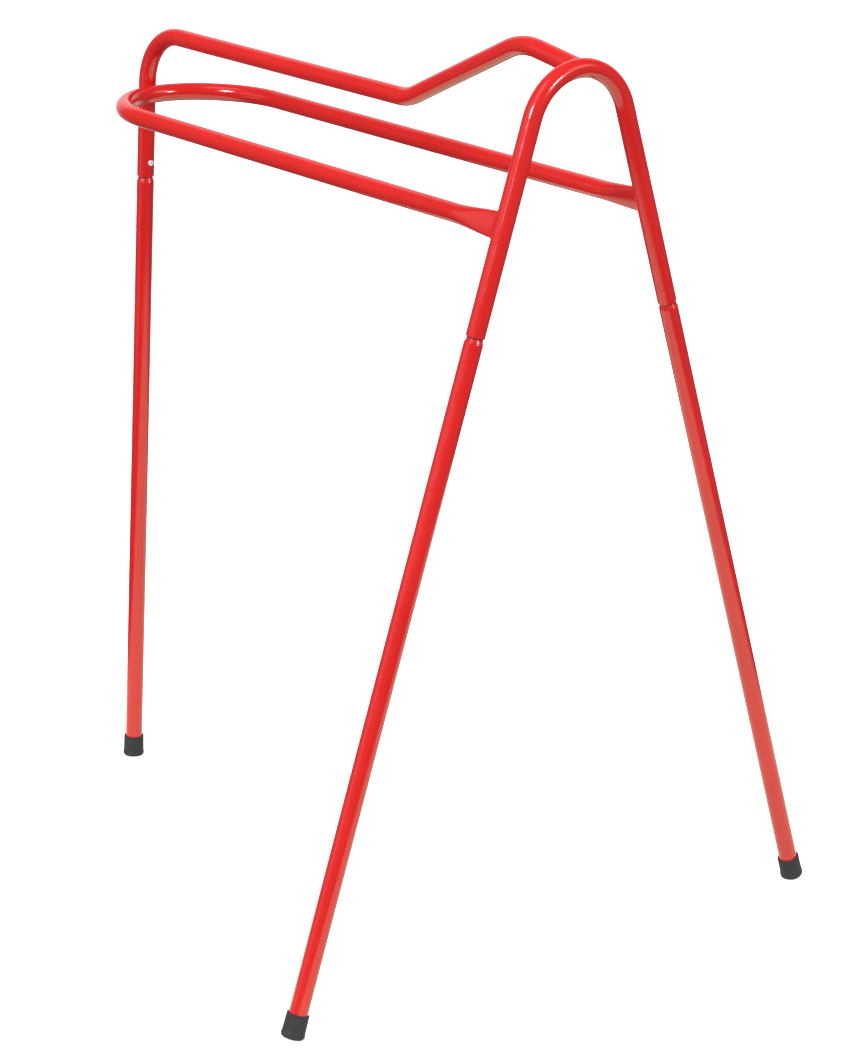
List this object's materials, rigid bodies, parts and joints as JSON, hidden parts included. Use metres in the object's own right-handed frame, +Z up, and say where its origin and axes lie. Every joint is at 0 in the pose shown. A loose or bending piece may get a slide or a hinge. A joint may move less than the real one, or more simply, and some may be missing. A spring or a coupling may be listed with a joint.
{
  "type": "saddle stand",
  "caption": "Free-standing tubular steel stand that holds a riding saddle, with a dipped and humped ridge, a looped side rail, splayed plug-in legs and rubber tips.",
  "frame": {"origin": "on the floor, at the middle of the stand's overall length and width", "axes": "+Z up, +X from the single leg towards the arch, +Y across the stand to its right as seen from the arch"},
  "size_m": [0.794, 0.6848, 0.924],
  "materials": {
    "red_powder_coat": "gloss",
    "rubber": "matte",
    "button_plate": "polished",
    "spring_steel": "satin"
  },
  "bodies": {
    "frame": {"ridge_tube": "red_powder_coat", "saddle_hoop": "red_powder_coat", "rear_arch": "red_powder_coat"},
    "single_leg": {"single_leg_tube": "red_powder_coat", "single_leg_rubber_tip": "rubber", "single_leg_leaf_spring": "spring_steel"},
    "single_leg_button": {"single_leg_button": "button_plate"},
    "left_leg": {"left_leg_tube": "red_powder_coat", "left_leg_rubber_tip": "rubber", "left_leg_leaf_spring": "spring_steel"},
    "left_leg_button": {"left_leg_button": "button_plate"},
    "right_leg": {"right_leg_tube": "red_powder_coat", "right_leg_rubber_tip": "rubber", "right_leg_leaf_spring": "spring_steel"},
    "right_leg_button": {"right_leg_button": "button_plate"}
  },
  "joints": [
    {"name": "single_leg_pull", "type": "slide", "parent": "frame", "child": "single_leg", "axis": [-0.0725, 0, -0.9974], "range_m": [0, 0.075], "deforming": ["single_leg_button"]},
    {"name": "single_leg_button_press", "type": "slide", "parent": "single_leg", "child": "single_leg_button", "axis": [-0.9974, 0, 0.0725], "range_m": [0, 0.0037], "stiffness_N_per_m": 1500, "springref_m": -0.001, "deforming": ["single_leg_leaf_spring"]},
    {"name": "left_leg_pull", "type": "slide", "parent": "frame", "child": "left_leg", "axis": [-0.0226, -0.304, -0.9524], "range_m": [0, 0.075], "deforming": ["left_leg_button"]},
    {"name": "left_leg_button_press", "type": "slide", "parent": "left_leg", "child": "left_leg_button", "axis": [0.9997, 0, -0.0237], "range_m": [0, 0.0037], "stiffness_N_per_m": 1500, "springref_m": -0.001, "deforming": ["left_leg_leaf_spring"]},
    {"name": "right_leg_pull", "type": "slide", "parent": "frame", "child": "right_leg", "axis": [-0.0226, 0.304, -0.9524], "range_m": [0, 0.075], "deforming": ["right_leg_button"]},
    {"name": "right_leg_button_press", "type": "slide", "parent": "right_leg", "child": "right_leg_button", "axis": [0.9997, 0, -0.0237], "range_m": [0, 0.0037], "stiffness_N_per_m": 1500, "springref_m": -0.001, "deforming": ["right_leg_leaf_spring"]}
  ]
}
